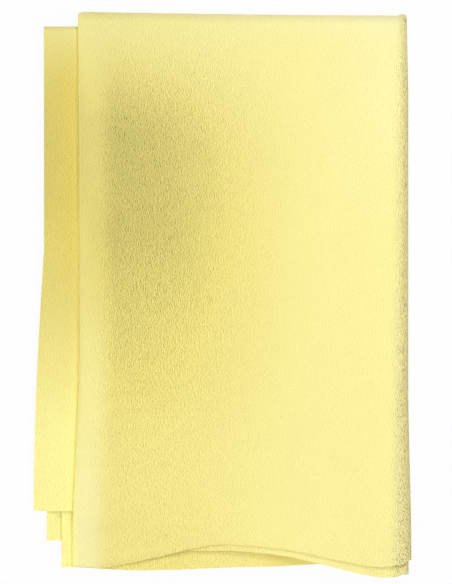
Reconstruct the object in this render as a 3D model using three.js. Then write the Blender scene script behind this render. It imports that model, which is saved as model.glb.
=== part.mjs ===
// A soft, cut-edged microfiber cloth, folded into a pad of eight plies and laid flat.
//
// The cloth is one sheet. It is folded in half to the left, in half again to the right, and last
// over the top edge. A cut across the pad meets the same four plies in its front and back halves:
//   corner ply, from the cut edge at the left to the inner right fold
//   second ply, from there back to the left fold
//   front ply (rear ply in the back half), from there to the outer right fold
//   inner ply, from there back to the cut edge at the left
// The top folds carry each strip of the front half over into its strip of the back half.
// X runs to the right, Y towards the top folds and Z up from the table. Lengths are in millimetres.
import * as THREE from "three";

// The cloth and how closely its plies lie
const clothThickness = 1.0;
const plyGap = 0.3;
const seamSlit = 0.4;

// The folded pad, seen from the front
const padWidth = 144.2;
const padLength = 240.3;

// How far the cut edges stand out past the left fold
const cornerOverhang = 16.2;
const innerOverhang = 8.4;
const backInnerOverhang = 15.0;
const backCornerOverhang = 14.0;

// How far the side edges wander from straight lines: the amount, where it starts and over what length
const leftSpread = { amount: 3.3, start: -20, length: 97 };
const leftTopSpread = { amount: 0.7, start: 60, length: 64 };
const rightSpread = { amount: 1.4, start: -37, length: 82 };
const rightTopTaper = { amount: 0.6, start: 84, length: 40 };
const cornerSpread = { amount: 4.6, start: 20, length: 115 };

// The crease lines at the top: they slant down to the right, and the inner plies fold lower at the left
const creaseSlant = 1.3;
const creaseStep = 3.9;

// The lower edges: the depth of the front plies' wave, and how much shorter the other plies are
const waveDepth = 10.2;
const cornerShortfall = 24.8;
const backCornerShortfall = 12.8;
const backInnerShortfall = 11.7;
const backOuterShortfall = 3.6;
const backRightShortfall = 7.2;

// The rolls at the side folds: how far they reach in from the tip above and below, and how the
// corner of the pad stands up where a roll passes over the top
const leftRoll = { above: 5.0, below: 2.5, ear: 0.5 };
const outerRoll = { above: 4.8, below: 3.0, ear: 2.2 };
const innerRoll = { above: 2.2, below: 1.4, ear: 0.7 };
const rollTipRise = 1.6;
const earEndShare = 0.75;

// How the front half stands proud of a flat stack: a soft crest along each side, and lifted lower edges
const leftCrest = { rise: 2.4, inset: 7.5, width: 13 };
const rightCrest = { rise: 0.7, inset: 3, width: 12 };
const edgeLift = { rise: 1.5, length: 26 };
const creaseFade = 35;

// How far the free strips at the left sag below the stack
const flapSag = 1.2;
const flapReach = 20;

// Lower edges as shares: across the front ply from left to right, and up the wave's depth
const frontEdgeShares = [
  [0, 0.02], [0.07, 0], [0.155, 0.2], [0.255, 0.51], [0.345, 0.84], [0.42, 1],
  [0.543, 0.93], [0.672, 0.69], [0.8, 0.29], [0.93, 0.05], [1, 0.2],
];
const secondEdgeShares = [
  [0, 0.02], [0.12, 0.4], [0.25, 0.7], [0.32, 0.77], [0.36, 0.72], [0.457, 0.725], [0.543, 0.637],
  [0.627, 0.5], [0.7, 0.28], [0.776, 0.02], [0.862, -0.284], [0.938, -0.43], [1, -0.3],
];
const innerEdgeShares = [
  [0, 0], [0.155, -0.13], [0.273, -0.11], [0.47, 0], [0.596, 0.04], [0.745, 0.147], [1, 0.2],
];

// Grid lines across and along a ply, closer where the cloth bends, and the steps round a fold
const acrossShares = [0, 0.04, 0.1, 0.17, 0.25, 0.34, 0.43, 0.55, 0.68, 0.8, 0.9, 1];
const alongShares = [0, 0.1, 0.25, 0.45, 0.65, 0.8, 0.9, 1];
const flatShares = [0, 0.33, 0.67, 1];
const bendSteps = 8;
const curveSteps = 80;

// Pale lemon, a little deeper on the plies that lie further back
const frontColour = 0xfcf5a0;
const topColour = 0xf8ef98;
const backColour = 0xf3e98f;
const nap = { roughness: 0.95, metalness: 0 };

// Plies are counted from the middle of the stack outwards
const innerPly = 1;
const cornerPly = 2;
const secondPly = 3;
const frontPly = 4;
const halfShare = 0.5;

// Worked out from the sizes above
const plyPitch = clothThickness + plyGap;
const midHeight = frontPly * plyPitch - halfShare * plyGap;
const leftFoldX = -padWidth / 2;
const rightFoldX = padWidth / 2;
const lowerEdgeY = -padLength / 2;
const creaseY = padLength / 2;

const mix = (from, to, share) => from + (to - from) * share;
const clamp = (share) => Math.min(1, Math.max(0, share));
const smooth = (share) => clamp(share) ** 2 * (3 - 2 * clamp(share));
const easeOut = (share) => Math.sin((Math.PI / 2) * clamp(share));
const bell = (distance, width) => Math.exp(-((distance / width) ** 2));
const evenShares = (steps) => Array.from({ length: steps + 1 }, (_, step) => step / steps);

const spreadBelow = (y, spread, shape) => spread.amount * shape((spread.start - y) / spread.length);
const spreadAbove = (y, spread, shape) => spread.amount * shape((y - spread.start) / spread.length);

// The tips of the side folds at a height Y of the pad
const leftTip = (y) => leftFoldX - spreadBelow(y, leftSpread, smooth) - spreadAbove(y, leftTopSpread, smooth);
const rightTip = (y) =>
  rightFoldX + spreadBelow(y, rightSpread, smooth) - spreadAbove(y, rightTopTaper, smooth);
const innerTip = (y) => rightTip(y) - plyPitch;

// A smooth line through a table of shares, read at a share across the pad
function edgeLine(shares) {
  const curve = new THREE.CatmullRomCurve3(shares.map(([across, up]) => new THREE.Vector3(across, up, 0)));
  const samples = curve.getPoints(curveSteps);
  return (x) => {
    const across = clamp((x - leftFoldX) / padWidth);
    const next = samples.findIndex((sample, k) => k > 0 && (sample.x >= across || k === curveSteps));
    const [before, after] = [samples[next - 1], samples[next]];
    const up = mix(before.y, after.y, (across - before.x) / (after.x - before.x));
    return lowerEdgeY + waveDepth * up;
  };
}

// A lower edge that runs smoothly between how much shorter the ply is at the left and at the right
const shortEdge = (left, right) => (x) => lowerEdgeY + mix(left, right, smooth((x - leftFoldX) / padWidth));

const frontEdge = edgeLine(frontEdgeShares);
const secondEdge = edgeLine(secondEdgeShares);
const innerEdge = edgeLine(innerEdgeShares);

// How far a free strip at the left has sagged
function sag(x, y) {
  const out = clamp((leftTip(y) - x) / flapReach);
  return flapSag * out ** 2 * smooth((creaseY - y) / creaseFade);
}

// How far a ply of the front half is lifted off a flat stack
function frontLift(ply, x, y) {
  if (ply < secondPly) {
    return -sag(x, y);
  }
  const wave = Math.max(0, (frontEdge(x) - lowerEdgeY) / waveDepth);
  let lift = edgeLift.rise * wave * bell(y - lowerEdgeY, edgeLift.length);
  if (ply === frontPly) {
    lift += leftCrest.rise * bell(x - leftTip(y) - leftCrest.inset, leftCrest.width);
    lift += rightCrest.rise * bell(rightTip(y) - x - rightCrest.inset, rightCrest.width);
  }
  return lift * smooth((creaseY - y) / creaseFade);
}

const frontHalf = {
  side: 1,
  lift: frontLift,
  cutEdge: {
    [cornerPly]: (y) => leftFoldX - cornerOverhang - spreadBelow(y, cornerSpread, easeOut),
    [innerPly]: () => leftFoldX - innerOverhang,
  },
  lowerEdge: {
    [frontPly]: frontEdge,
    [secondPly]: secondEdge,
    [cornerPly]: shortEdge(cornerShortfall, secondEdge(rightFoldX) - lowerEdgeY),
    [innerPly]: innerEdge,
  },
};

const backHalf = {
  side: -1,
  lift: (ply, x, y) => (ply < secondPly ? sag(x, y) : 0),
  cutEdge: {
    [cornerPly]: () => leftFoldX - backCornerOverhang,
    [innerPly]: () => leftFoldX - backInnerOverhang,
  },
  lowerEdge: {
    [frontPly]: shortEdge(backOuterShortfall, backRightShortfall),
    [secondPly]: shortEdge(backOuterShortfall + plyPitch, backRightShortfall + plyPitch),
    [cornerPly]: shortEdge(backCornerShortfall, backRightShortfall + plyPitch),
    [innerPly]: shortEdge(backInnerShortfall, backRightShortfall),
  },
};

// The strips of the cloth. A ply lies between two bounds, and a fold joins two plies round its tip.
// turn is 1 where the tip points to the right and -1 where it points to the left.
const strips = [
  {
    names: ["front_corner_ply", "top_fold_corner_ply", "back_corner_ply"],
    ply: cornerPly,
    start: "cutEdge",
    end: "innerFold",
  },
  {
    names: ["front_inner_right_fold", "top_fold_inner_right", "back_inner_right_fold"],
    joins: [secondPly, cornerPly],
    tip: innerTip,
    roll: innerRoll,
    turn: 1,
  },
  {
    names: ["front_second_ply", "top_fold_second_ply", "back_second_ply"],
    ply: secondPly,
    start: "leftFoldBelow",
    end: "innerFoldAbove",
  },
  {
    names: ["front_left_fold", "top_fold_left", "back_left_fold"],
    joins: [frontPly, secondPly],
    tip: leftTip,
    roll: leftRoll,
    turn: -1,
  },
  {
    names: ["front_ply", "top_fold_front_ply", "rear_ply"],
    ply: frontPly,
    start: "leftFoldAbove",
    end: "outerFoldAbove",
  },
  {
    names: ["front_outer_right_fold", "top_fold_outer_right", "back_outer_right_fold"],
    joins: [frontPly, innerPly],
    tip: rightTip,
    roll: outerRoll,
    turn: 1,
  },
  {
    names: ["front_inner_ply", "top_fold_inner_ply", "back_inner_ply"],
    ply: innerPly,
    start: "cutEdge",
    end: "outerFold",
  },
];

// Where plies begin and end across the pad
const bounds = {
  leftFoldAbove: (y) => leftTip(y) + leftRoll.above + seamSlit,
  leftFoldBelow: (y) => leftTip(y) + leftRoll.below + seamSlit,
  innerFoldAbove: (y) => innerTip(y) - innerRoll.above - seamSlit,
  innerFold: (y) => innerTip(y) - innerRoll.below - seamSlit,
  outerFoldAbove: (y) => rightTip(y) - outerRoll.above - seamSlit,
  outerFold: (y) => rightTip(y) - outerRoll.below - seamSlit,
};

function plySpan(strip, half, y) {
  const start = strip.start === "cutEdge" ? half.cutEdge[strip.ply] : bounds[strip.start];
  return [start(y), bounds[strip.end](y)];
}

// The height of a ply's middle surface above (or, in the back half, below) the middle of the stack
const plyHeight = (ply, half, x, y) => (ply - halfShare) * plyPitch + half.lift(ply, x, y);

// One face of a strip, cut across the pad at a height Y: its X and its distance from the middle of the
// stack. face is 1 for the outer face and -1 for the inner. A fold's two faces are half ellipses, one
// inside the other, so that the inner one never crosses itself however tight the fold is.
function section(strip, half, share, y, face) {
  const skin = (face * clothThickness) / 2;
  if (strip.ply) {
    const x = mix(...plySpan(strip, half, y), share);
    return { x, height: plyHeight(strip.ply, half, x, y) + skin };
  }
  const tip = strip.tip(y);
  const { above, below } = strip.roll;
  const upper = plyHeight(strip.joins[0], half, tip - strip.turn * above, y);
  const lower = plyHeight(strip.joins[1], half, tip - strip.turn * below, y);
  const angle = Math.PI * (halfShare - share);
  const reach = angle > 0 ? above : below;
  const x = tip - strip.turn * (reach - (reach + skin) * Math.cos(angle));
  return { x, height: (upper + lower) / 2 + ((upper - lower) / 2 + skin) * Math.sin(angle) };
}

// The top folds' crease line. The inner plies' creases run lower from the right fold to the left, and
// a side fold's crease stands up in an ear at the pad's corner, on the side of the fold that shows.
function crease(strip, share, x) {
  const slanted = creaseY - creaseSlant * easeOut((x - leftFoldX) / padWidth);
  if (strip.ply) {
    const step = strip.ply < secondPly ? creaseStep : 0;
    return slanted - step * smooth((rightFoldX - outerRoll.above - x) / padWidth);
  }
  return slanted + strip.roll.ear * Math.sin(Math.PI * clamp(share / earEndShare));
}

// The lower edge of a strip, with a fold's tip drawn up a little between its two plies
function lowerEdge(strip, half, share) {
  if (strip.ply) {
    return half.lowerEdge[strip.ply](mix(...plySpan(strip, half, lowerEdgeY), share));
  }
  const end = strip.turn > 0 ? rightFoldX : leftFoldX;
  const [upper, lower] = strip.joins.map((ply) => half.lowerEdge[ply](end));
  return mix(upper, lower, share) + rollTipRise * Math.sin(Math.PI * share);
}

// The faces of a strip in one half, from the crease (along = 0) to the lower edge (along = 1)
const halfSurface = (strip, half) => (across, along, face) => {
  const top = crease(strip, across, section(strip, half, across, creaseY, face).x) - seamSlit;
  const y = mix(top, lowerEdge(strip, half, across), along);
  const { x, height } = section(strip, half, across, y, face);
  return new THREE.Vector3(x, y, midHeight + half.side * height);
};

// The faces of a top fold: the section at the crease, turned half a turn about the crease line
const topSurface = (strip) => (across, along, face) => {
  const { x, height } = section(strip, frontHalf, across, creaseY, face);
  const angle = Math.PI * along;
  const y = crease(strip, across, x) + height * Math.sin(angle);
  return new THREE.Vector3(x, y, midHeight + height * Math.cos(angle));
};

// A closed slab of cloth on a grid of shares. outward is 1 where the outer face is the one that the grid's
// two directions point out of, and -1 where it is the inner face.
function slab(surface, across, along, outward) {
  const points = [];
  for (const face of [outward, -outward]) {
    for (const a of across) {
      points.push(...along.map((b) => surface(a, b, face)));
    }
  }
  const rows = along.length;
  const lastColumn = across.length - 1;
  const lastRow = rows - 1;
  const at = (layer, i, j) => (layer * across.length + i) * rows + j;
  const faces = [];
  const quad = (a, b, c, d) => faces.push(a, b, c, a, c, d);
  for (let i = 0; i < lastColumn; i += 1) {
    for (let j = 0; j < lastRow; j += 1) {
      quad(at(0, i, j), at(0, i + 1, j), at(0, i + 1, j + 1), at(0, i, j + 1));
      quad(at(1, i, j), at(1, i, j + 1), at(1, i + 1, j + 1), at(1, i + 1, j));
    }
    quad(at(0, i, 0), at(1, i, 0), at(1, i + 1, 0), at(0, i + 1, 0));
    quad(at(0, i, lastRow), at(0, i + 1, lastRow), at(1, i + 1, lastRow), at(1, i, lastRow));
  }
  for (let j = 0; j < lastRow; j += 1) {
    quad(at(0, 0, j), at(0, 0, j + 1), at(1, 0, j + 1), at(1, 0, j));
    quad(at(0, lastColumn, j), at(1, lastColumn, j), at(1, lastColumn, j + 1), at(0, lastColumn, j + 1));
  }
  const geometry = new THREE.BufferGeometry().setFromPoints(points);
  geometry.setIndex(faces);
  geometry.computeVertexNormals();
  return geometry;
}

function piece(name, geometry, color) {
  const mesh = new THREE.Mesh(geometry, new THREE.MeshStandardMaterial({ color, ...nap }));
  mesh.name = name;
  return mesh;
}

const bend = evenShares(bendSteps);
const cloth = new THREE.Group();

for (const strip of strips) {
  const [frontName, topName, backName] = strip.names;
  const [across, backAlong] = strip.ply ? [acrossShares, flatShares] : [bend, alongShares];
  const turn = strip.turn ?? 1;
  cloth.add(piece(frontName, slab(halfSurface(strip, frontHalf), across, alongShares, -turn), frontColour));
  cloth.add(piece(topName, slab(topSurface(strip), across, bend, turn), topColour));
  cloth.add(piece(backName, slab(halfSurface(strip, backHalf), across, backAlong, turn), backColour));
}

// The origin lies on the table, under the middle of the pad's box
const box = new THREE.Box3().setFromObject(cloth);
const centre = box.getCenter(new THREE.Vector3());
cloth.position.set(-centre.x, -centre.y, -box.min.z);

export default cloth;
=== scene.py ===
# %% [markdown]
# A large microfiber cloth, folded into a flat pad. It is one sheet with plain cut edges, folded in half
# to the left, in half again to the right, and last over the top. This lesson builds it the way a
# pattern cutter thinks of it: the whole sheet is one grid of points, and each point is told where the
# three folds carry it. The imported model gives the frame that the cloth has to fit.

# %% Load the frame
import math
from collections import namedtuple

import bpy
import numpy as np
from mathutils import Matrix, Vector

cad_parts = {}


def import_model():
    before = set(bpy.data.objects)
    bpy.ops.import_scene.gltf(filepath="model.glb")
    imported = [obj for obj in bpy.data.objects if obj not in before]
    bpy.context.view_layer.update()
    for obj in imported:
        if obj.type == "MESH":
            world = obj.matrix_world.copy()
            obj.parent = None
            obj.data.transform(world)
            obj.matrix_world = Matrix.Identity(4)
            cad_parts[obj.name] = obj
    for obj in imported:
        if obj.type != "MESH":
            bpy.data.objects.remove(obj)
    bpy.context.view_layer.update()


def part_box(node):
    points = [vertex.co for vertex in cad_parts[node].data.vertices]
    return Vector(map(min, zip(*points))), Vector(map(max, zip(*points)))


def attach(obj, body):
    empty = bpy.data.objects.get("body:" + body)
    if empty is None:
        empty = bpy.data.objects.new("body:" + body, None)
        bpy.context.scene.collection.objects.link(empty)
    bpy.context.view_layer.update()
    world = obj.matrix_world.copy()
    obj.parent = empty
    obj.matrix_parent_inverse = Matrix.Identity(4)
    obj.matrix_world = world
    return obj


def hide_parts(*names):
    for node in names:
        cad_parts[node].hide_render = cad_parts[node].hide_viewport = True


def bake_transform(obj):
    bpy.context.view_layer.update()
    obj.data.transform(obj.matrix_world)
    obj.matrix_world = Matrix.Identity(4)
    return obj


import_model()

# %% [markdown]
# The driving sizes. A ply is one thickness of cloth, and plies are counted from the middle of the stack
# outwards: the inner ply is 1 and the front ply 4. A pitch is the height from one ply to the next. Each
# edge of the pad spreads a little, so it gets an amount, a place where that starts and a length. A roll
# says how far its fold reaches into the ply above and the ply below, how far it stands out as an ear at
# the top crease, how far its tip is drawn up at the lower edge, and what share of its height it droops.

# %% Sizes of the cloth and of the pad, in millimetres
MM = 0.001
THICKNESS = 0.7
PITCH = 1.3
MIDDLE = 5.05
INNER, CORNER, SECOND, FRONT = 1, 2, 3, 4

PAD_WIDTH = 144.2
PAD_LENGTH = 240.3
LEFT_FOLD, RIGHT_FOLD = -PAD_WIDTH / 2, PAD_WIDTH / 2
LOWER_EDGE, CREASE = -PAD_LENGTH / 2, PAD_LENGTH / 2

Spread = namedtuple("Spread", "amount start length")
LEFT_SPREAD = Spread(3.3, -20, 97)
LEFT_TOP_SPREAD = Spread(0.7, 60, 64)
RIGHT_SPREAD = Spread(1.4, -37, 82)
RIGHT_TOP_TAPER = Spread(0.6, 84, 40)
CORNER_SPREAD = Spread(4.6, 20, 115)

Roll = namedtuple("Roll", "above below ear tip_rise droop_share")
LEFT_ROLL = Roll(8.0, 2.5, 0.5, 0.5, 0.68)
OUTER_ROLL = Roll(3.2, 2.4, 1.5, 1.6, 0.15)
INNER_ROLL = Roll(2.2, 1.4, 0.7, 0, 0)
EAR_END_SHARE = 0.75

CREASE_SLANT = 1.6
CREASE_STEP = 3.9
WAVE_DEPTH = 10.2
print("pad", PAD_WIDTH, "x", PAD_LENGTH, "mm, eight plies", PITCH, "mm apart")

# %% [markdown]
# Every bend of a soft cloth eases in and out. These small functions take whole arrays, so that one call
# works out a row, a column or the full grid: a step without corners, a quarter wave and a bell.

# %% Easing functions
def clamp(share):
    """The share itself, but never below 0 or above 1."""
    return np.clip(share, 0, 1)


def smooth(share):
    """3 s^2 - 2 s^3, which leaves 0 and reaches 1 without a corner."""
    s = clamp(share)
    return s * s * (3 - 2 * s)


def ease_out(share):
    """The first quarter of a sine wave."""
    return np.sin(np.pi / 2 * clamp(share))


def bell(distance, width):
    """exp(-(d / w)^2), a soft bump that is 1 in its middle."""
    return np.exp(-((distance / width) ** 2))


def mix(start, end, share):
    """The start plus the share of the way to the end. It works on numbers, arrays and shader values."""
    return start + (end - start) * share


def line_through(stops):
    """A smooth line through (across, up) stops: cubic pieces whose slopes are those of their neighbours."""
    across, up = np.array(stops).T
    slopes = np.gradient(up, across)

    def height(x):
        x = clamp(x)
        k = np.clip(np.searchsorted(across, x, side="right") - 1, 0, len(across) - 2)
        run = across[k + 1] - across[k]
        t = (x - across[k]) / run
        lead = (2 * t**3 - 3 * t**2 + 1) * up[k] + (t**3 - 2 * t**2 + t) * run * slopes[k]
        trail = (3 * t**2 - 2 * t**3) * up[k + 1] + (t**3 - t**2) * run * slopes[k + 1]
        return lead + trail

    return height


print("a smooth step half way is", float(smooth(0.5)))

# %% [markdown]
# The outline. The side folds lean outwards towards the lower edge, and the cut edges of the inner plies
# stand out past the left fold. The front plies' lower edges run in a wave, drawn up in the middle and
# dropping at the right, so that the plies behind show under it.

# %% Side folds and cut edges
def spread_below(y, spread, shape):
    """The spread's amount times its shape, counted down from where it starts."""
    return spread.amount * shape((spread.start - y) / spread.length)


def spread_above(y, spread, shape):
    """The spread's amount times its shape, counted up from where it starts."""
    return spread.amount * shape((y - spread.start) / spread.length)


def left_tip(y):
    """The left fold's tip: the fold line, moved out by the spread below and by the one near the top."""
    return LEFT_FOLD - spread_below(y, LEFT_SPREAD, smooth) - spread_above(y, LEFT_TOP_SPREAD, smooth)


def right_tip(y):
    """The right fold's tip: the fold line, moved out by the spread below and drawn in near the top."""
    return RIGHT_FOLD + spread_below(y, RIGHT_SPREAD, smooth) - spread_above(y, RIGHT_TOP_TAPER, smooth)


def inner_tip(y):
    """The inner right fold lies inside the outer one, one pitch away."""
    return right_tip(y) - PITCH


CORNER_OVERHANG = 16.2
INNER_OVERHANG = 8.4
BACK_CORNER_OVERHANG = 14.0
BACK_INNER_OVERHANG = 15.0
CUT_EDGES = {
    (1, CORNER): lambda y: LEFT_FOLD - CORNER_OVERHANG - spread_below(y, CORNER_SPREAD, ease_out),
    (1, INNER): lambda y: LEFT_FOLD - INNER_OVERHANG + 0 * y,
    (-1, CORNER): lambda y: LEFT_FOLD - BACK_CORNER_OVERHANG + 0 * y,
    (-1, INNER): lambda y: LEFT_FOLD - BACK_INNER_OVERHANG + 0 * y,
}
print("the corner ply stands out by", CORNER_OVERHANG, "mm at its top and more below")

# %% [markdown]
# The lower edges. Each one that shows is a smooth line through a few stops. A stop is a share of the way
# across the pad and a share of the wave's depth, so that the line can be read off the photo and scaled
# with the pad. A hidden one only has to end short of those in front, so it is almost straight.

# %% Lower edges
FRONT_EDGE_SHARES = [
    (0, 0.02), (0.07, 0), (0.155, 0.2), (0.255, 0.51), (0.345, 0.84), (0.42, 1),
    (0.543, 0.93), (0.672, 0.69), (0.8, 0.29), (0.93, 0.05), (1, 0.2),
]
SECOND_EDGE_SHARES = [
    (0, 0.02), (0.12, 0.4), (0.25, 0.7), (0.32, 0.77), (0.36, 0.72), (0.457, 0.725), (0.543, 0.637),
    (0.627, 0.5), (0.7, 0.28), (0.776, 0.02), (0.862, -0.284), (0.938, -0.43), (1, -0.3),
]
INNER_EDGE_SHARES = [
    (0, 0), (0.155, -0.13), (0.273, -0.11), (0.47, 0), (0.596, 0.04), (0.745, 0.147), (1, 0.2),
]
CORNER_SHORTFALL = 24.8
BACK_CORNER_SHORTFALL = 12.8
BACK_INNER_SHORTFALL = 11.7
BACK_OUTER_SHORTFALL = 3.6
BACK_RIGHT_SHORTFALL = 7.2


def across_share(x):
    """The share of the way from the left fold line to the right one."""
    return (x - LEFT_FOLD) / PAD_WIDTH


def waved(shares):
    """A visible edge: the line through its stops, times the wave's depth, above the pad's lower edge."""
    line = line_through(shares)
    return lambda x: LOWER_EDGE + WAVE_DEPTH * line(across_share(x))


def short(left, right):
    """A hidden edge: it ends short by one length at the left, and eases to another at the right."""
    return lambda x: LOWER_EDGE + mix(left, right, smooth(across_share(x)))


front_edge, second_edge, inner_edge = map(waved, (FRONT_EDGE_SHARES, SECOND_EDGE_SHARES, INNER_EDGE_SHARES))
LOWER_EDGES = {
    (1, FRONT): front_edge,
    (1, SECOND): second_edge,
    (1, CORNER): short(CORNER_SHORTFALL, float(second_edge(RIGHT_FOLD)) - LOWER_EDGE),
    (1, INNER): inner_edge,
    (-1, FRONT): short(BACK_OUTER_SHORTFALL, BACK_RIGHT_SHORTFALL),
    (-1, SECOND): short(BACK_OUTER_SHORTFALL + PITCH, BACK_RIGHT_SHORTFALL + PITCH),
    (-1, CORNER): short(BACK_CORNER_SHORTFALL, BACK_RIGHT_SHORTFALL + PITCH),
    (-1, INNER): short(BACK_INNER_SHORTFALL, BACK_RIGHT_SHORTFALL),
}
print("the front edge is drawn up by", WAVE_DEPTH, "mm at the top of its wave")

# %% [markdown]
# The heights. Soft plies don't lie like sheets of glass. The front ply stands in a soft crest beside the
# left fold, and the free strips at the left sag. Where a ply below has ended, the plies above slump onto
# the next one, and their own edges settle, but for one stretch that is lifted. Each ply also wanders by
# itself, in a sum of slow waves that is smaller than the gap to its neighbour. A simulation could find
# such heights too, but it would take long and couldn't be held to the photo.

# %% How a ply's height differs from a flat stack's
Crest = namedtuple("Crest", "rise inset width")
LEFT_CREST = Crest(1.45, 9, 13)
BROAD_CREST = Crest(1.4, 16, 42)
RIGHT_CREST = Crest(0.5, 4, 9)
EDGE_CREST_SHARE, EDGE_CREST_LENGTH = 0.05, 34
CORNER_DROP, CORNER_DROP_LENGTH = 1.7, 7
EDGE_LIFT_RISE, EDGE_LIFT_LENGTH = 1.2, 22
EDGE_LIFT_AT, EDGE_LIFT_WIDTH = 32, 27
CREASE_FADE = 35
FLAP_SAG, FLAP_REACH = 1.2, 20
SLUMP_LENGTH, SHORT_SLUMP_LENGTH = 14, 5
TUCK, TUCK_LENGTH = 0.4, 20
SETTLE, SETTLE_LENGTH = 0.38, 9
SETTLE_FROM_LEFT, SETTLE_RIGHT_SHARE = 24, 0.4
WANDER = 0.05
WANDER_LENGTHS = [(61, 83), (37, 52), (24, 95)]
PLY_PHASE, SIDE_PHASE, ALONG_PHASE = 2.4, 1.1, 1.7


def wander(ply, side, x, y):
    """The sum of three slow waves, each of its own length across and along, that fade out at the crease."""
    turns = PLY_PHASE * ply + SIDE_PHASE * side
    waves = sum(
        np.sin(2 * np.pi * x / wide + turns * (k + 1))
        * np.sin(2 * np.pi * y / long + ALONG_PHASE * turns - k)
        for k, (wide, long) in enumerate(WANDER_LENGTHS)
    )
    return WANDER * waves * smooth((CREASE - y) / CREASE_FADE)


def sag(x, y):
    """The square of the distance past the left fold, for the strips that stand out free there."""
    out = clamp((left_tip(y) - x) / FLAP_REACH)
    return FLAP_SAG * out**2 * smooth((CREASE - y) / CREASE_FADE)


def drop(x, y):
    """Past the inner ply's cut edge, the corner ply comes down onto the ply behind."""
    return CORNER_DROP * smooth((CUT_EDGES[1, INNER](y) - x) / CORNER_DROP_LENGTH)


def crest(distance, shape):
    """A bell of the distance from its inset, times its rise."""
    return shape.rise * bell(distance - shape.inset, shape.width)


def settled(line, y):
    """A bell along a cut edge, where the cloth sinks onto the ply behind."""
    return bell(y - line, SETTLE_LENGTH)


def outer_lift(ply, x, y):
    """The lift of the second or the front ply: the lifted edge less the slump, with crests and settling."""
    from_left = x - left_tip(y)
    rise = EDGE_LIFT_RISE * bell(x - EDGE_LIFT_AT, EDGE_LIFT_WIDTH) * bell(y - LOWER_EDGE, EDGE_LIFT_LENGTH)
    rise = rise - PITCH * smooth((LOWER_EDGES[1, CORNER](x) - y) / SLUMP_LENGTH)
    settle = SETTLE * smooth(from_left / SETTLE_FROM_LEFT)
    settle = settle * mix(1, SETTLE_RIGHT_SHARE, smooth(x / EDGE_LIFT_AT))
    kept = mix(EDGE_CREST_SHARE, 1, smooth((y - front_edge(x)) / EDGE_CREST_LENGTH))
    broad = crest(from_left, BROAD_CREST)
    if ply == SECOND:
        rise = rise + broad * smooth(from_left / BROAD_CREST.width) * kept
        rise = rise - TUCK * smooth((TUCK_LENGTH - from_left) / TUCK_LENGTH)
        return rise - settle * settled(second_edge(x), y)
    rise = rise + (broad + crest(from_left, LEFT_CREST)) * kept + crest(right_tip(y) - x, RIGHT_CREST)
    rise = rise - settle * (settled(front_edge(x), y) + settled(second_edge(x), y))
    return rise - PITCH * smooth((second_edge(x) - y) / SHORT_SLUMP_LENGTH)


def lift(ply, side, x, y):
    """How far a ply stands above its flat place, counted away from the middle of the stack."""
    fade = smooth((CREASE - y) / CREASE_FADE)
    if ply < SECOND:
        dropped = drop(x, y) * fade if (side, ply) == (1, CORNER) else 0
        return -side * sag(x, y) - dropped
    return outer_lift(ply, x, y) * fade if side > 0 else 0 * x


def ply_height(ply, side, x, y):
    """The ply's place, with ply 1 half a pitch from the middle of the stack, its lift and its wandering."""
    return (ply - 0.5) * PITCH + lift(ply, side, x, y) + wander(ply, side, x, y)


print("the crest stands", LEFT_CREST.rise, "mm above the flat part of the front ply")

# %% [markdown]
# The strips. Walking across the unfolded sheet from one cut edge to the other, one meets four plies and
# the three folds between them. Each strip knows how many columns of points it gets, and in which
# direction a walker crosses it. Folds get many columns close together, because they bend most there.

# %% The seven strips of the sheet
Strip = namedtuple("Strip", "name ply joins tip roll turn steps forward face")


def ply_strip(name, ply, steps, forward, face):
    """A strip that lies in one ply: it joins none and has no roll."""
    return Strip(name, ply, None, None, None, 1, steps, forward, face)


def fold_strip(name, joins, tip, roll, turn, steps, forward, face):
    """A strip that joins two plies by a roll, which turns to the right (1) or to the left (-1)."""
    return Strip(name, None, joins, tip, roll, turn, steps, forward, face)


STRIPS = [
    ply_strip("corner_ply", CORNER, 66, True, -1),
    fold_strip("inner_right", (SECOND, CORNER), inner_tip, INNER_ROLL, 1, 18, False, 1),
    ply_strip("second_ply", SECOND, 56, False, 1),
    fold_strip("left", (FRONT, SECOND), left_tip, LEFT_ROLL, -1, 24, False, -1),
    ply_strip("front_ply", FRONT, 84, True, -1),
    fold_strip("outer_right", (FRONT, INNER), right_tip, OUTER_ROLL, 1, 24, True, -1),
    ply_strip("inner_ply", INNER, 62, False, 1),
]


def even_shares(steps):
    """0, 1/n, 2/n and so on up to 1."""
    return np.linspace(0, 1, steps + 1)


def eased_shares(steps):
    """Shares that start and end with small steps, so that a bend begins and ends without a facet."""
    return (1 - np.cos(np.pi * even_shares(steps))) / 2


def ply_bounds(strip, side, y):
    """Where a ply begins and ends across the pad at a height y."""
    start = {
        CORNER: lambda: CUT_EDGES[side, CORNER](y),
        INNER: lambda: CUT_EDGES[side, INNER](y),
        SECOND: lambda: left_tip(y) + LEFT_ROLL.below,
        FRONT: lambda: left_tip(y) + LEFT_ROLL.above,
    }[strip.ply]()
    end = {
        CORNER: lambda: inner_tip(y) - INNER_ROLL.below,
        INNER: lambda: right_tip(y) - OUTER_ROLL.below,
        SECOND: lambda: inner_tip(y) - INNER_ROLL.above,
        FRONT: lambda: right_tip(y) - OUTER_ROLL.above,
    }[strip.ply]()
    return start, end


print("columns across the sheet", sum(strip.steps for strip in STRIPS) + 1)

# %% [markdown]
# The section. At each height of the pad a strip has an X and a distance from the middle of the stack. A
# ply's is straight. A fold's is two half ellipses, one inside the other, so that the cloth keeps its
# thickness round the bend and its inner face never crosses itself.

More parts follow.
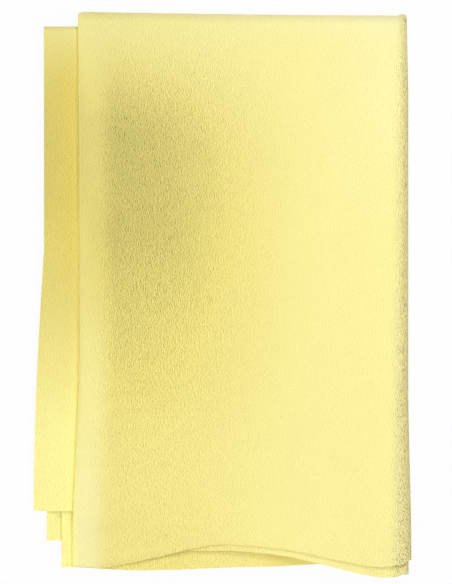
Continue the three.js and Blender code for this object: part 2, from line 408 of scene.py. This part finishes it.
# %% The section across the pad
def section(strip, side, share, y, face):
    """X and height of one face: straight for a ply, a half ellipse about the fold's tip for a fold."""
    skin = face * THICKNESS / 2
    if strip.ply:
        start, end = ply_bounds(strip, side, y)
        x = mix(start, end, share)
        return x, ply_height(strip.ply, side, x, y) + skin
    tip = strip.tip(y)
    upper = ply_height(strip.joins[0], side, tip - strip.turn * strip.roll.above, y)
    lower = ply_height(strip.joins[1], side, tip - strip.turn * strip.roll.below, y)
    angle = np.pi * (0.5 - share)
    reach = np.where(angle > 0, strip.roll.above, strip.roll.below)
    x = tip - strip.turn * (reach - (reach + skin) * np.cos(angle))
    half = (upper - lower) / 2
    droop = strip.roll.droop_share * half * np.cos(angle) ** 2
    return x, (upper + lower) / 2 + (half + skin) * np.sin(angle) - droop


def crease_line(strip, share, x):
    """The top crease: it falls to the right, runs lower on the inner plies and ears out at a fold."""
    slanted = CREASE - CREASE_SLANT * ease_out(across_share(x))
    if strip.ply:
        step = CREASE_STEP if strip.ply < SECOND else 0
        return slanted - step * smooth((RIGHT_FOLD - OUTER_ROLL.above - x) / PAD_WIDTH)
    return slanted + strip.roll.ear * np.sin(np.pi * clamp(share / EAR_END_SHARE))


def lower_line(strip, side, share):
    """The lower edge of a strip; a fold's tip is drawn up a little between its two plies."""
    if strip.ply:
        start, end = ply_bounds(strip, side, LOWER_EDGE)
        return LOWER_EDGES[side, strip.ply](mix(start, end, share))
    end = RIGHT_FOLD if strip.turn > 0 else LEFT_FOLD
    upper, lower = (LOWER_EDGES[side, ply](end) for ply in strip.joins)
    return mix(upper, lower, share) + strip.roll.tip_rise * np.sin(np.pi * share)


print("a fold's section turns half way round in", STRIPS[3].steps, "steps")

# %% [markdown]
# The whole sheet as one grid. Rows run from the front half's lower edge up to the crease, over it and
# down the back half. Over the crease, the section simply turns half a turn about the crease line. One
# grid for both faces means that neighbouring pieces later share their edge points exactly.

# %% Rows along the sheet
HALF_ROWS = 116
CREASE_ROWS = 26
CROWDING = 0.35
DOWN = eased_shares(HALF_ROWS) * CROWDING + even_shares(HALF_ROWS) * (1 - CROWDING)
OVER = eased_shares(CREASE_ROWS)

# The pad's box isn't centred on the fold lines: the CAD says how far it stands to the right and down.
# A solid's skin is half its thickness, and a slit parts it from the next solid.
CAD_SKIN, CAD_SLIT = 0.5, 0.4
SHIFT_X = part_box("front_outer_right_fold")[1].x / MM - (RIGHT_FOLD + RIGHT_SPREAD.amount + CAD_SKIN)
SHIFT_Y = (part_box("back_left_fold")[1].y / MM + CAD_SLIT) - (CREASE + LEFT_ROLL.ear)


def half_block(strip, side, share, face):
    """A strip's points in one half, from the crease down: y is mixed from the crease to the lower edge."""
    top = crease_line(strip, share, section(strip, side, share, CREASE, face)[0])
    y = mix(top[None, :], lower_line(strip, side, share)[None, :], DOWN[:, None])
    x, height = section(strip, side, share[None, :], y, face)
    return np.stack([x + 0 * y, y, MIDDLE + side * height], axis=-1)


def crease_block(strip, share, face):
    """A strip's points over the crease: the section turned by an angle from front (0) to back (pi)."""
    x, height = section(strip, 1, share, CREASE, face)
    angle = np.pi * OVER[:, None]
    y = crease_line(strip, share, x) + height * np.sin(angle)
    return np.stack([x + 0 * y, y, MIDDLE + height * np.cos(angle)], axis=-1)


def whole_sheet(side_of_cloth):
    """Both halves and the crease, strip by strip, on one grid of points in metres."""
    columns = []
    for strip in STRIPS:
        share = even_shares(strip.steps) if strip.ply else eased_shares(strip.steps)
        share = share if strip.forward else share[::-1]
        face = strip.face * side_of_cloth
        front = half_block(strip, 1, share, face)[::-1]
        over = crease_block(strip, share, face)
        back = half_block(strip, -1, share, face)
        block = np.concatenate([front[:-1], over, back[1:]])
        columns.append(block if not columns else block[:, 1:])
    grid = np.concatenate(columns, axis=1)
    return (grid + [SHIFT_X, SHIFT_Y, 0]) * MM


FACES = [whole_sheet(1), whole_sheet(-1)]
middle_sheet = (FACES[0] + FACES[1]) / 2
print("grid of", *middle_sheet.shape[:2], "points, shifted by", round(SHIFT_X, 3), round(SHIFT_Y, 3), "mm")

# %% [markdown]
# The flat pattern. Adding up the steps along a row and down a column unrolls the sheet again. That gives
# every point a place on the flat cloth, which the material uses, so that its nap runs round the folds.

# %% Unroll the sheet
def walked(points):
    """Distance walked along a line of points."""
    steps = np.linalg.norm(np.diff(points, axis=0), axis=1)
    return np.concatenate([[0], np.cumsum(steps)])


pattern_across = walked(middle_sheet[HALF_ROWS // 2])
pattern_along = walked(middle_sheet[:, middle_sheet.shape[1] // 2])
pattern = np.stack(np.meshgrid(pattern_across, pattern_along), axis=-1)
print("flat pattern", round(pattern_across[-1], 3), "x", round(pattern_along[-1], 3), "m")

# %% [markdown]
# A piece is a patch of the grid with both faces and a narrow band round its rim, which closes it. The
# edge between a face and the rim stays sharp, as scissors leave it, and all else is shaded smooth.

# %% Make a closed piece of cloth from a patch of the grid
SHARP_ANGLE = math.radians(40)


def rim_of(rows, columns):
    """Numbers of a grid's border points, in order round the patch."""
    number = np.arange(rows * columns).reshape(rows, columns)
    return np.concatenate([number[:-1, 0], number[-1, :-1], number[:0:-1, -1], number[0, :0:-1]])


def quads_of(rows, columns):
    """Every cell of a grid of points, as the numbers of its four corners in order."""
    number = np.arange(rows * columns).reshape(rows, columns)
    corners = [number[:-1, :-1], number[:-1, 1:], number[1:, 1:], number[1:, :-1]]
    return np.stack(corners, axis=-1).reshape(-1, 4)


def volume_in(points, faces):
    """A sixth of the sum of middle times area vector: above 0 if the faces point outwards."""
    corners = points[faces]
    diagonal = corners[:, 2] - corners[:, 0]
    spans = np.cross(corners[:, 1] - corners[:, 0], diagonal)
    spans = spans + np.cross(diagonal, corners[:, 3] - corners[:, 0])
    return (corners.mean(axis=1) * spans).sum() / 6


def cloth_mesh(name, rows, columns):
    """The patch's first face, its second face wound the other way, and quads between their borders."""
    first, second = (face[rows, columns] for face in FACES)
    quads = quads_of(*first.shape[:2])
    rim = rim_of(*first.shape[:2])
    after = np.roll(rim, -1)
    points = np.concatenate([first.reshape(-1, 3), second.reshape(-1, 3)])
    total = len(points) // 2
    band = np.stack([rim, rim + total, after + total, after], axis=1)
    faces = np.concatenate([quads[:, ::-1], quads + total, band[:, ::-1]])
    if volume_in(points, faces) < 0:
        faces = faces[:, ::-1]
    mesh = bpy.data.meshes.new(name)
    mesh.from_pydata(points.tolist(), [], faces.tolist())
    uv = mesh.uv_layers.new(name="flat_pattern")
    places = np.concatenate([pattern[rows, columns].reshape(-1, 2)] * 2)
    uv.data.foreach_set("uv", places[faces.ravel()].astype(np.float32).ravel())
    mesh.polygons.foreach_set("use_smooth", np.ones(len(faces), bool))
    mesh.set_sharp_from_angle(angle=SHARP_ANGLE)
    mesh.validate()
    return mesh


def cloth_piece(name, rows, columns):
    """An object at the origin, unturned, with the patch's mesh; the cloth's material is added to it later.
    """
    piece = bpy.data.objects.new(name, cloth_mesh(name, rows, columns))
    bpy.context.scene.collection.objects.link(piece)
    return piece


print("the rim of a patch of 3 by 3 points has", len(rim_of(3, 3)), "of them")

# %% [markdown]
# The two halves. Each half of the folded pad moves as one when the pad is opened, so each is one
# unbroken piece that rides on its body and stands for the seven panels of its half.

# %% Front and back halves
ALL = slice(None)
FRONT_ROWS = slice(0, HALF_ROWS + 1)
OVER_ROWS = slice(HALF_ROWS, HALF_ROWS + CREASE_ROWS + 1)
BACK_ROWS = slice(HALF_ROWS + CREASE_ROWS, None)
PANELS = ["corner_ply", "inner_right_fold", "second_ply", "left_fold", "outer_right_fold", "inner_ply"]


def front_half():
    """All rows from the front's lower edge up to the crease, as one piece that swings open."""
    piece = cloth_piece("front_sheet", FRONT_ROWS, ALL)
    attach(piece, "front_half")
    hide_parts("front_ply", *("front_" + panel for panel in PANELS))
    return piece


def back_half():
    """All rows from the crease down the back, as one piece that stays on the table."""
    piece = cloth_piece("back_sheet", BACK_ROWS, ALL)
    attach(piece, "back_half")
    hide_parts("rear_ply", *("back_" + panel for panel in PANELS))
    return piece


front_sheet, back_sheet = front_half(), back_half()
for sheet in (front_sheet, back_sheet):
    print(sheet.name, len(sheet.data.polygons), "faces")

# %% [markdown]
# The top crease. When the pad opens, an outer ply has a longer way round the crease than an inner one,
# so each strip over the crease is a piece of its own. A fold's strip passes from one ply's height to
# another's, so it is cut into narrow bands. For each band, the height of its lower side and two points
# that far above and below the middle of the stack are worked out, but nothing uses them.

# %% Strips over the top crease
CREASE_NODES = {
    "corner_ply": "top_fold_corner_ply",
    "inner_right": "top_fold_inner_right",
    "second_ply": "top_fold_second_ply",
    "left": "top_fold_left",
    "front_ply": "top_fold_front_ply",
    "outer_right": "top_fold_outer_right",
    "inner_ply": "top_fold_inner_ply",
}
BAND_STEPS = {"inner_right": 9, "left": 12, "outer_right": 6}


def crease_strips():
    """Each strip of the crease, cut into its bands, bent between the halves and standing for its node."""
    made, start = [], 0
    for strip in STRIPS:
        band = BAND_STEPS.get(strip.name, strip.steps)
        for part, first in enumerate(range(start, start + strip.steps, band)):
            columns = slice(first, first + band + 1)
            suffix = "" if strip.ply else f"_{part + 1}"
            piece = cloth_piece(f"crease_{strip.name}{suffix}", OVER_ROWS, columns)
            height = middle_sheet[HALF_ROWS, columns, 2].min() - MIDDLE * MM
            at = middle_sheet[HALF_ROWS, first]
            ends = [(at[0], at[1], MIDDLE * MM + way * height) for way in (-1, 1)]
            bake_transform(piece)
            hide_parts(CREASE_NODES[strip.name])
            made.append(piece)
        start += strip.steps
    return made


crease = crease_strips()
print(len(crease), "crease pieces:", ", ".join(piece.name for piece in crease))

# %% [markdown]
# Shader maths reads best as plain expressions. A Value wraps one output of a node, and Python's own
# operators on it add Math nodes. Every other node comes from one method, add. The same class fills the
# node tree of a material and that of the world.

# %% A small language for shader nodes
class Value:
    """One output of a node. Sums and products with it become Math nodes of the same tree."""

    def __init__(self, finish, socket):
        self.finish, self.socket = finish, socket

    def __add__(self, other):
        return self.finish.maths("ADD", self, other)

    def __radd__(self, other):
        return self.finish.maths("ADD", other, self)

    def __sub__(self, other):
        return self.finish.maths("SUBTRACT", self, other)

    def __rsub__(self, other):
        return self.finish.maths("SUBTRACT", other, self)

    def __mul__(self, other):
        return self.finish.maths("MULTIPLY", self, other)

    def __rmul__(self, other):
        return self.finish.maths("MULTIPLY", other, self)


class Finish:
    """The node tree of a material or of a world."""

    def __init__(self, owner):
        owner.use_nodes = True
        self.tree = owner.node_tree
        self.tree.nodes.clear()

    def add(self, kind, settings=None, values=None, output=0):
        """A node of that kind, with its settings, and with its sockets filled or linked."""
        node = self.tree.nodes.new(kind)
        for name, value in (settings or {}).items():
            setattr(node, name, value)
        for name, value in (values or {}).items():
            if isinstance(value, Value):
                self.tree.links.new(value.socket, node.inputs[name])
            else:
                node.inputs[name].default_value = value
        return Value(self, node.outputs[output]) if node.outputs else node

    def maths(self, operation, first, second):
        """A Math node: one operation on two numbers."""
        return self.add("ShaderNodeMath", {"operation": operation}, {0: first, 1: second})

    def vector(self, operation, values):
        """A Vector Math node, for places and colours."""
        return self.add("ShaderNodeVectorMath", {"operation": operation}, values)

    def mixed(self, share, first, second):
        """The first colour at share 0 and the second at 1, carried on in a straight line beyond."""
        # A Mix node keeps sockets for each kind of data: its colours are inputs 6 and 7 and output 2
        colours = {0: share, 6: first, 7: second}
        return self.add("ShaderNodeMix", {"data_type": "RGBA", "clamp_factor": False}, colours, output=2)


print("shader helpers ready")

# %% [markdown]
# The grain. This cloth is a non-woven of split fibres with a soft nap, like a fine suede. From a step
# away its grain is a crinkle of short upright strokes. Noise alone gives round blots, so the strokes come
# from a Gabor texture, which is noise that has a direction, and a finer noise adds the fibres. Both read
# the flat pattern, so that the strokes run round a fold with the cloth.

# %% Strokes of the nap
STROKES_ACROSS, STROKES_ALONG = 1 / 0.00102, 1 / 0.0013
STROKE_WAVES, STROKE_ORDER, STROKE_TURN = 1.15, 0.62, 0.0
FIBRES_ACROSS, FIBRES_ALONG = 1 / 0.0005, 1 / 0.0008
FIBRE_SHARE = 0.2


def counted(flat, across, along):
    """The flat pattern counted in strokes or in fibres, across and along, instead of in metres."""
    return flat.finish.vector("MULTIPLY", {0: flat, 1: (across, along, 1)})


def noise(place, scale, detail):
    """Soft noise between 0 and 1. Its scale is about how many blots lie in one unit of the place."""
    values = {"Vector": place, "Scale": scale, "Detail": detail}
    return place.finish.add("ShaderNodeTexNoise", {"noise_dimensions": "2D"}, values)


def nap_height(flat):
    """A large share of strokes and a small one of fibres: low in a hollow and high on a crest."""
    values = {
        "Vector": counted(flat, STROKES_ACROSS, STROKES_ALONG),
        "Scale": 1,
        "Frequency": STROKE_WAVES,
        "Anisotropy": STROKE_ORDER,
        4: STROKE_TURN,  # two sockets are called Orientation, and this is the one for 2D
    }
    strokes = flat.finish.add("ShaderNodeTexGabor", {"gabor_type": "2D"}, values)
    fibres = noise(counted(flat, FIBRES_ACROSS, FIBRES_ALONG), 1, 0)
    return strokes * (1 - FIBRE_SHARE) + fibres * FIBRE_SHARE


print("a stroke is about", round(1000 / STROKES_ACROSS / STROKE_WAVES, 2), "mm wide")

# %% [markdown]
# A finish also has to know where it is on the pad. A fade is a soft step between two places, with a value
# before it and another after it. A region is a product of fades across the pad and along it. They read
# Object coordinates, which are those of the folded pad in metres, so a region lies where the eye sees it.

# %% Fades and regions
Fade = namedtuple("Fade", "start end low high", defaults=(0, 1))
Region = namedtuple("Region", "across_pad along_pad")


def faded(value, fade):
    """A step without corners, from low at the fade's start to high at its end."""
    sockets = ("Value", "From Min", "From Max", "To Min", "To Max")
    values = dict(zip(sockets, (value, *fade)))
    return value.finish.add("ShaderNodeMapRange", {"interpolation_type": "SMOOTHSTEP"}, values)


def inside(region, x, y):
    """The product of a region's fades at a place of the pad."""
    across = [faded(x, fade) for fade in region.across_pad]
    along = [faded(y, fade) for fade in region.along_pad]
    return math.prod(across + along)


def flat_start(name):
    """Where a strip of the sheet begins across the flat pattern."""
    before = [strip.name for strip in STRIPS].index(name)
    return float(pattern_across[sum(strip.steps for strip in STRIPS[:before])])


print("the front ply begins", round(flat_start("front_ply"), 3), "m across the flat pattern")

# %% [markdown]
# Painted shade: a broad patch from the upper left down, a little mottled, gets a deeper, darker colour,
# which stands in for the shadow over that part of the pad. It could be painted by hand, but fades keep
# it soft at any size. Beside the left fold, where the roll faces the light, there is less painted shade,
# in a band that follows the fold and so is measured on the flat pattern. The inner ply, seen under the
# wave, gets painted shade too, for the shade under the edges of the plies in front.

# %% Painted shade over the upper left and under the wave
# The patch of painted shade: where it lies, how far it reaches and how much of it is used.
PAINTED_SHADE_SLANT, PAINTED_SHADE_ACROSS = 0.04, Fade(0.057, -0.044)
PAINTED_SHADE_TOP_SLANT, PAINTED_SHADE_TOP = 0.18, Fade(0.118, 0.058)
PAINTED_SHADE_BELOW = Fade(0.045, -0.085, 1, 0.36)
PAINTED_SHADE_SHARE = 0.95
MOTTLE_SCALE, MOTTLE = 22, Fade(0.3, 0.7, 0.95, 1.05)
BAND_MIDDLE = flat_start("front_ply") - 0.004
BAND_EDGE = Fade(0.0036, 0.01215)
BAND_DEPTH = Fade(0.020, -0.060, 0.65, 0.08)
# Less painted shade on the left roll near its tip at mid height, where the roll faces the light.
PALE_EDGE = Region([Fade(-0.0565, -0.062)], [Fade(0.048, 0.022), Fade(-0.045, -0.015)])
PALE_EDGE_SHARE = 0.45
INNER_FACE = Fade(flat_start("inner_ply"), flat_start("inner_ply") + 0.001)
# Painted shade on the inner ply where it shows under the wave of the front plies, more to the right.
UNDER_WAVE_SHADE = Region([Fade(-0.052, -0.036), Fade(0.008, 0.030, 0.12, 0.45)], [])


def painted_shade_amount(flat, x, y):
    """How much painted shade the colour gets, as a product of fades: 0 is lemon, a half is half shade and 1
    is full shade.
    """
    across = flat.finish.add("ShaderNodeSeparateXYZ", None, {0: flat}, output="X")
    from_band = flat.finish.maths("ABSOLUTE", across - BAND_MIDDLE, 0)
    band = mix(faded(y, BAND_DEPTH), 1, faded(from_band, BAND_EDGE))
    patch = faded(x + y * PAINTED_SHADE_SLANT, PAINTED_SHADE_ACROSS) * faded(y + x * PAINTED_SHADE_TOP_SLANT, PAINTED_SHADE_TOP)
    painted_shade = patch * faded(y, PAINTED_SHADE_BELOW) * band * faded(noise(flat, MOTTLE_SCALE, 1), MOTTLE)
    kept = 1 - inside(PALE_EDGE, x, y) * PALE_EDGE_SHARE
    inner = faded(across, INNER_FACE) * inside(UNDER_WAVE_SHADE, x, y)
    return painted_shade * kept * PAINTED_SHADE_SHARE + inner


print("the pale band lies", round(BAND_MIDDLE, 3), "m across the flat pattern")

# %% [markdown]
# The base colour passes from lemon over a half shaded one to a fully shaded one, which is painted shade,
# because a straight mix of two yellows turns grey on the way. Both shaded colours are duller in the upper
# half. The top edge, the right side and the lower left get painted light: they are paler, for the
# brighter light that falls there.

# %% From lemon to painted shade, with painted light at the edges
LEMON = (0.96, 0.87, 0.345, 1)
# After lemon: the colour of painted light, then half and full painted shade, and the same two duller.
PAINTED_LIGHT_LEMON = (0.955, 0.885, 0.415, 1)
HALF_SHADE_LEMON = (0.91, 0.785, 0.230, 1)
FULL_SHADE_LEMON = (0.70, 0.602, 0.172, 1)
DULL_HALF_SHADE_LEMON = (0.89, 0.774, 0.245, 1)
DULL_FULL_SHADE_LEMON = (0.70, 0.605, 0.182, 1)
UPPER = Fade(0.015, 0.075)
# Painted light: where the top edge, the right side and the lower left turn paler.
PAINTED_LIGHT_TOP = Region([Fade(-0.040, 0.040, 0, 0.8)], [Fade(0.106, 0.124)])
PAINTED_LIGHT_SIDE = Region([Fade(0.030, 0.085)], [Fade(0.010, 0.110)])
PAINTED_LIGHT_LOW = Region([Fade(-0.040, -0.066)], [Fade(-0.045, -0.105, 0, 1.1)])


def painted_shade_colour(deep, x, y):
    """Lemon, paler with painted light, to half shade over the first half of the share, and on to full shade
    over the second.
    """
    finish = deep.finish
    upper = faded(y, UPPER)
    # The share of painted light.
    pale = inside(PAINTED_LIGHT_TOP, x, y) + inside(PAINTED_LIGHT_SIDE, x, y) + inside(PAINTED_LIGHT_LOW, x, y)
    lemon = finish.mixed(pale, LEMON, PAINTED_LIGHT_LEMON)
    half_shade = finish.mixed(upper, HALF_SHADE_LEMON, DULL_HALF_SHADE_LEMON)
    full_shade = finish.mixed(upper, FULL_SHADE_LEMON, DULL_FULL_SHADE_LEMON)
    half_shaded = finish.mixed(finish.maths("MINIMUM", deep * 2, 1), lemon, half_shade)
    return finish.mixed(finish.maths("MAXIMUM", deep * 2 - 1, 0), half_shaded, full_shade)


print("lemon", LEMON[:3], "to deep lemon", FULL_SHADE_LEMON[:3])

# %% [markdown]
# The places with painted light and shade of their own. The free strip at the left gets golden painted
# shade over its upper part, and painted light at its lower end, where it turns pale. The flank beside
# the roll gets painted shade, a little darker. A bright line along the roll is painted light, which keeps
# its crevice from going black with shadow. The right edge, where the roll turns from the light, gets
# painted shade, duller and greyer, and stronger strokes and bump. Each is mixed in over those before it,
# and its share says how far.

# %% Painted shade and light on the strip, the flank, the roll and the right edge
# Painted shade on the free strip's upper part: a darker golden.
SHADED_STRIP_LEMON = (0.82, 0.675, 0.148, 1)
# Painted light for the crevice along the left roll.
CREVICE_LIGHT_LEMON = (1.0, 0.88, 0.27, 1)
# Painted light at the free strip's lower end.
STRIP_END_LIGHT_LEMON = (1.0, 0.93, 0.345, 1)
# Painted shade on the right edge, duller and greyer where the roll turns away from the light.
RIGHT_EDGE_SHADE_LEMON = (0.90, 0.80, 0.345, 1)
STRIP_EDGE = Fade(-0.063, -0.065)
# Where the free strip gets painted shade, most in its upper part.
SHADED_STRIP = Region(
    [STRIP_EDGE, Fade(-0.080, -0.066, 0.6, 1)],
    [Fade(-0.030, 0.045, 0.15, 1), Fade(0.118, 0.086)],
)
SHADED_STRIP_SHARE = 0.9
# Where the free strip's lower end gets painted light, which turns it pale.
STRIP_END_LIGHT = Region([STRIP_EDGE], [Fade(-0.010, -0.068)])
# Painted shade on the flank beside the roll, where the crest slopes away from the light.
FLANK = Region([Fade(-0.044, -0.060)], [Fade(-0.040, 0.005), Fade(0.095, 0.060)])
FLANK_PAINTED_SHADE = 0.06
# The line of painted light along the roll's crevice, outside and inside the tip.
LINE_OUTER, LINE_INNER = Fade(0.0015, 0), Fade(-0.0004, 0)


def lean_of(spread, way):
    """A fold's lean outwards as a fade along the pad, below its start (way -1) or above it (way 1)."""
    start = (spread.start + SHIFT_Y) * MM
    return Fade(start, start + way * spread.length * MM, 0, spread.amount * MM)


def beside_roll(x, y):
    """1 on a narrow line just outside the left roll's tip, where painted light lifts the crevice's shadow;
    it leans as the roll does.
    """
    lean = faded(y, lean_of(LEFT_SPREAD, -1)) + faded(y, lean_of(LEFT_TOP_SPREAD, 1))
    outside = (LEFT_FOLD + SHIFT_X) * MM - lean - x
    return faded(outside, LINE_OUTER) * faded(outside, LINE_INNER)


def placed_colour(painted_shade, strip, right_edge_mask, x, y):
    """The shaded colour with painted shade on the flank, and with four places of painted light and shade
    mixed in by their shares.
    """
    finish = painted_shade.finish
    lit = 1 - inside(FLANK, x, y) * FLANK_PAINTED_SHADE
    shaded = finish.vector("SCALE", {0: painted_shade, 3: lit})
    strip_shaded = finish.mixed(strip * SHADED_STRIP_SHARE, shaded, SHADED_STRIP_LEMON)
    crevice_lit = finish.mixed(beside_roll(x, y), strip_shaded, CREVICE_LIGHT_LEMON)
    strip_end_lit = finish.mixed(inside(STRIP_END_LIGHT, x, y), crevice_lit, STRIP_END_LIGHT_LEMON)
    return finish.mixed(right_edge_mask, strip_end_lit, RIGHT_EDGE_SHADE_LEMON)


print("the bright line is", LINE_OUTER.start * 1000, "mm wide")

# %% [markdown]
# The whole finish. The grain's colour follows the nap's height, with painted shade in its hollows: a hollow
# is darker and, as light bounces between yellow fibres, above all less blue, so the height moves blue most.
# The strokes stand out most, with more painted shade and more bump, in the shaded patch and on the right
# edge, where the light grazes. The same height makes the bump, and the surface is matt with a little sheen.

# %% Microfiber
# Where the strokes stand out most: the patch of painted shade, where the light grazes.
STRONG_GRAIN = Region(
    [Fade(0.034, -0.030), Fade(-0.060, -0.044, 0.08, 1)],
    [Fade(0.120, 0.070, 0.15, 1), Fade(0.010, -0.090, 1, 0.4)],
)
# The right edge, where the roll turns from the light: its painted shade, and stronger strokes and bump.
RIGHT_EDGE_SLANT, RIGHT_EDGE_FADE = 0.012, Fade(0.0735, 0.0805)
MEAN_HEIGHT = 0.5
STROKE_TINT = (0.95, 1.2, 2.7)
STROKE_SHADE, STRONG_GRAIN_SHADE, RIGHT_EDGE_STROKE_SHADE, STRIP_SHADE = 0.28, 1.15, 0.65, 0.35
STROKE_RELIEF, STRONG_GRAIN_RELIEF, RIGHT_EDGE_RELIEF = 0.3, 0.6, 1.0
GRAIN_HEIGHT = 0.0008
MATT = {"Roughness": 0.92, "Specular IOR Level": 0.15, "Sheen Weight": 0.12, "Sheen Roughness": 0.5}


def microfiber():
    """The colour times 1 plus the height's swing about its mean, tinted, and a bump of the same height."""
    material = bpy.data.materials.new("microfiber")
    finish = Finish(material)
    flat = finish.add("ShaderNodeUVMap", {"uv_map": "flat_pattern"})
    place = finish.add("ShaderNodeTexCoord", output="Object")
    x, y = (finish.add("ShaderNodeSeparateXYZ", None, {0: place}, output=axis) for axis in "XY")
    strong_grain = inside(STRONG_GRAIN, x, y)
    strip = inside(SHADED_STRIP, x, y)
    right_edge_mask = faded(x - y * RIGHT_EDGE_SLANT, RIGHT_EDGE_FADE)
    height = nap_height(flat)
    plain = placed_colour(painted_shade_colour(painted_shade_amount(flat, x, y), x, y), strip, right_edge_mask, x, y)
    # The strokes' painted shade: hollows darker and less blue, more in the shaded patch, on the strip and
    # at the right edge.
    strength = STROKE_SHADE + strong_grain * STRONG_GRAIN_SHADE + right_edge_mask * RIGHT_EDGE_STROKE_SHADE + strip * STRIP_SHADE
    shade = (height - MEAN_HEIGHT) * strength
    tint = finish.vector("SCALE", {0: STROKE_TINT, 3: shade})
    colour = finish.vector("MULTIPLY_ADD", {0: plain, 1: tint, 2: plain})
    relief = height * (STROKE_RELIEF + strong_grain * STRONG_GRAIN_RELIEF + right_edge_mask * RIGHT_EDGE_RELIEF)
    bump = finish.add("ShaderNodeBump", None, {"Height": relief, "Distance": GRAIN_HEIGHT, "Strength": 1.0})
    surface = finish.add("ShaderNodeBsdfPrincipled", None, {"Base Color": colour, "Normal": bump, **MATT})
    finish.add("ShaderNodeOutputMaterial", None, {"Surface": surface})
    return material


microfiber_finish = microfiber()
for piece in [front_sheet, back_sheet, *crease]:
    piece.data.materials.append(microfiber_finish)
print("microfiber finish has", len(microfiber_finish.node_tree.nodes), "nodes")

# %% [markdown]
# The stage. The photograph looks straight down on a white table. The table's white comes from what the
# camera sees, not from more light: a camera ray meets mostly a plain white glow, mixed with a little of
# the real surface, so that the cloth keeps a soft shadow. The world does the same past the table.

# %% Table and world
TABLE_SIZE = 4.0
WHITE = (1, 1, 1, 1)
PAPER = (0.9, 0.9, 0.9, 1)
GLOW_SHARE = 0.94
AMBIENT = 0.25


def table():
    """A square in the plane Z = 0. A camera ray sees mostly the glow, and any other ray sees the paper."""
    mesh = bpy.data.meshes.new("table")
    half = TABLE_SIZE / 2
    corners = [(-half, -half, 0), (half, -half, 0), (half, half, 0), (-half, half, 0)]
    mesh.from_pydata(corners, [], [range(4)])
    material = bpy.data.materials.new("white_table")
    finish = Finish(material)
    paper = finish.add("ShaderNodeBsdfDiffuse", None, {"Color": PAPER})
    glow = finish.add("ShaderNodeEmission", None, {"Color": WHITE, "Strength": 1})
    seen = finish.add("ShaderNodeLightPath", output="Is Camera Ray")
    shown = finish.add("ShaderNodeMixShader", None, {"Fac": seen * GLOW_SHARE, 1: paper, 2: glow})
    finish.add("ShaderNodeOutputMaterial", None, {"Surface": shown})
    mesh.materials.append(material)
    plane = bpy.data.objects.new("table", mesh)
    bpy.context.scene.collection.objects.link(plane)


def world():
    """Plain white light: full strength for a camera ray and the ambient strength for any other."""
    studio = bpy.data.worlds.new("studio")
    finish = Finish(studio)
    seen = finish.add("ShaderNodeLightPath", output="Is Camera Ray")
    light = finish.add("ShaderNodeBackground", None, {"Color": WHITE, "Strength": mix(AMBIENT, 1, seen)})
    finish.add("ShaderNodeOutputWorld", None, {"Surface": light})
    bpy.context.scene.world = studio


table()
world()
print("table", TABLE_SIZE, "m wide, ambient light", AMBIENT)

# %% [markdown]
# The lamps are plain and soft. The main one stands low and far out at the left, so that its light grazes
# the nap and catches the roll down that side. One beyond the top and one beyond the lower edge light the
# crease and the cut edges. Three small ones hang over the right corners and the lower left one, each with
# just enough light to even out its part of the pad.

# %% Lamps
LARGE, SMALL = 0.40, 0.20
PAD_MIDDLE = (0, 0, 0)


def lamp(name, place, aim, size, watts):
    """A square lamp at a place. It is tilted up from straight down, and then turned towards its aim."""
    light = bpy.data.lights.new(name, "AREA")
    light.shape, light.size, light.energy = "SQUARE", size, watts
    holder = bpy.data.objects.new(name, light)
    holder.location = place
    way = np.array(aim) - np.array(place)
    yaw = math.atan2(way[1], way[0]) - math.pi / 2
    pitch = math.atan2(math.hypot(way[0], way[1]), -way[2])
    holder.rotation_euler = (pitch, 0, yaw)
    holder.visible_camera = False
    bpy.context.scene.collection.objects.link(holder)


lamp("left_lamp", (-1.19, 0, 0.39), PAD_MIDDLE, LARGE, 4.9)
lamp("top_lamp", (-0.05, 0.45, 0.45), PAD_MIDDLE, LARGE, 0.97)
lamp("bottom_lamp", (0, -0.35, 0.35), PAD_MIDDLE, SMALL, 0.47)
lamp("upper_right_lamp", (0.14, 0.14, 0.30), (0.14, 0.14, 0), SMALL, 0.38)
lamp("lower_right_lamp", (0.12, -0.14, 0.30), (0.12, -0.14, 0), SMALL, 0.215)
lamp("lower_left_lamp", (-0.12, -0.14, 0.15), (-0.12, -0.14, 0), SMALL, 0.042)
print("six lamps")

# %% [markdown]
# The camera looks straight down from far away with a long lens, so that the pad shows without
# perspective. One pixel of the 452 by 584 frame is 0.44 mm on the front ply.

# %% Camera
FRAME_HEIGHT_PIXELS = 584
PIXEL = 0.00044
CAMERA_MIDDLE = (0.00154, 0.00049)
LENS, SENSOR = 200, 36

camera_data = bpy.data.cameras.new("camera")
camera_data.lens, camera_data.sensor_width = LENS, SENSOR
camera = bpy.data.objects.new("camera", camera_data)
distance = FRAME_HEIGHT_PIXELS * PIXEL * LENS / SENSOR
camera.location = (*CAMERA_MIDDLE, distance + (MIDDLE + FRONT * PITCH) * MM)
bpy.context.scene.collection.objects.link(camera)
bpy.context.scene.camera = camera
bpy.context.scene.view_settings.view_transform = "Standard"
print("camera", round(distance, 3), "m above the cloth")
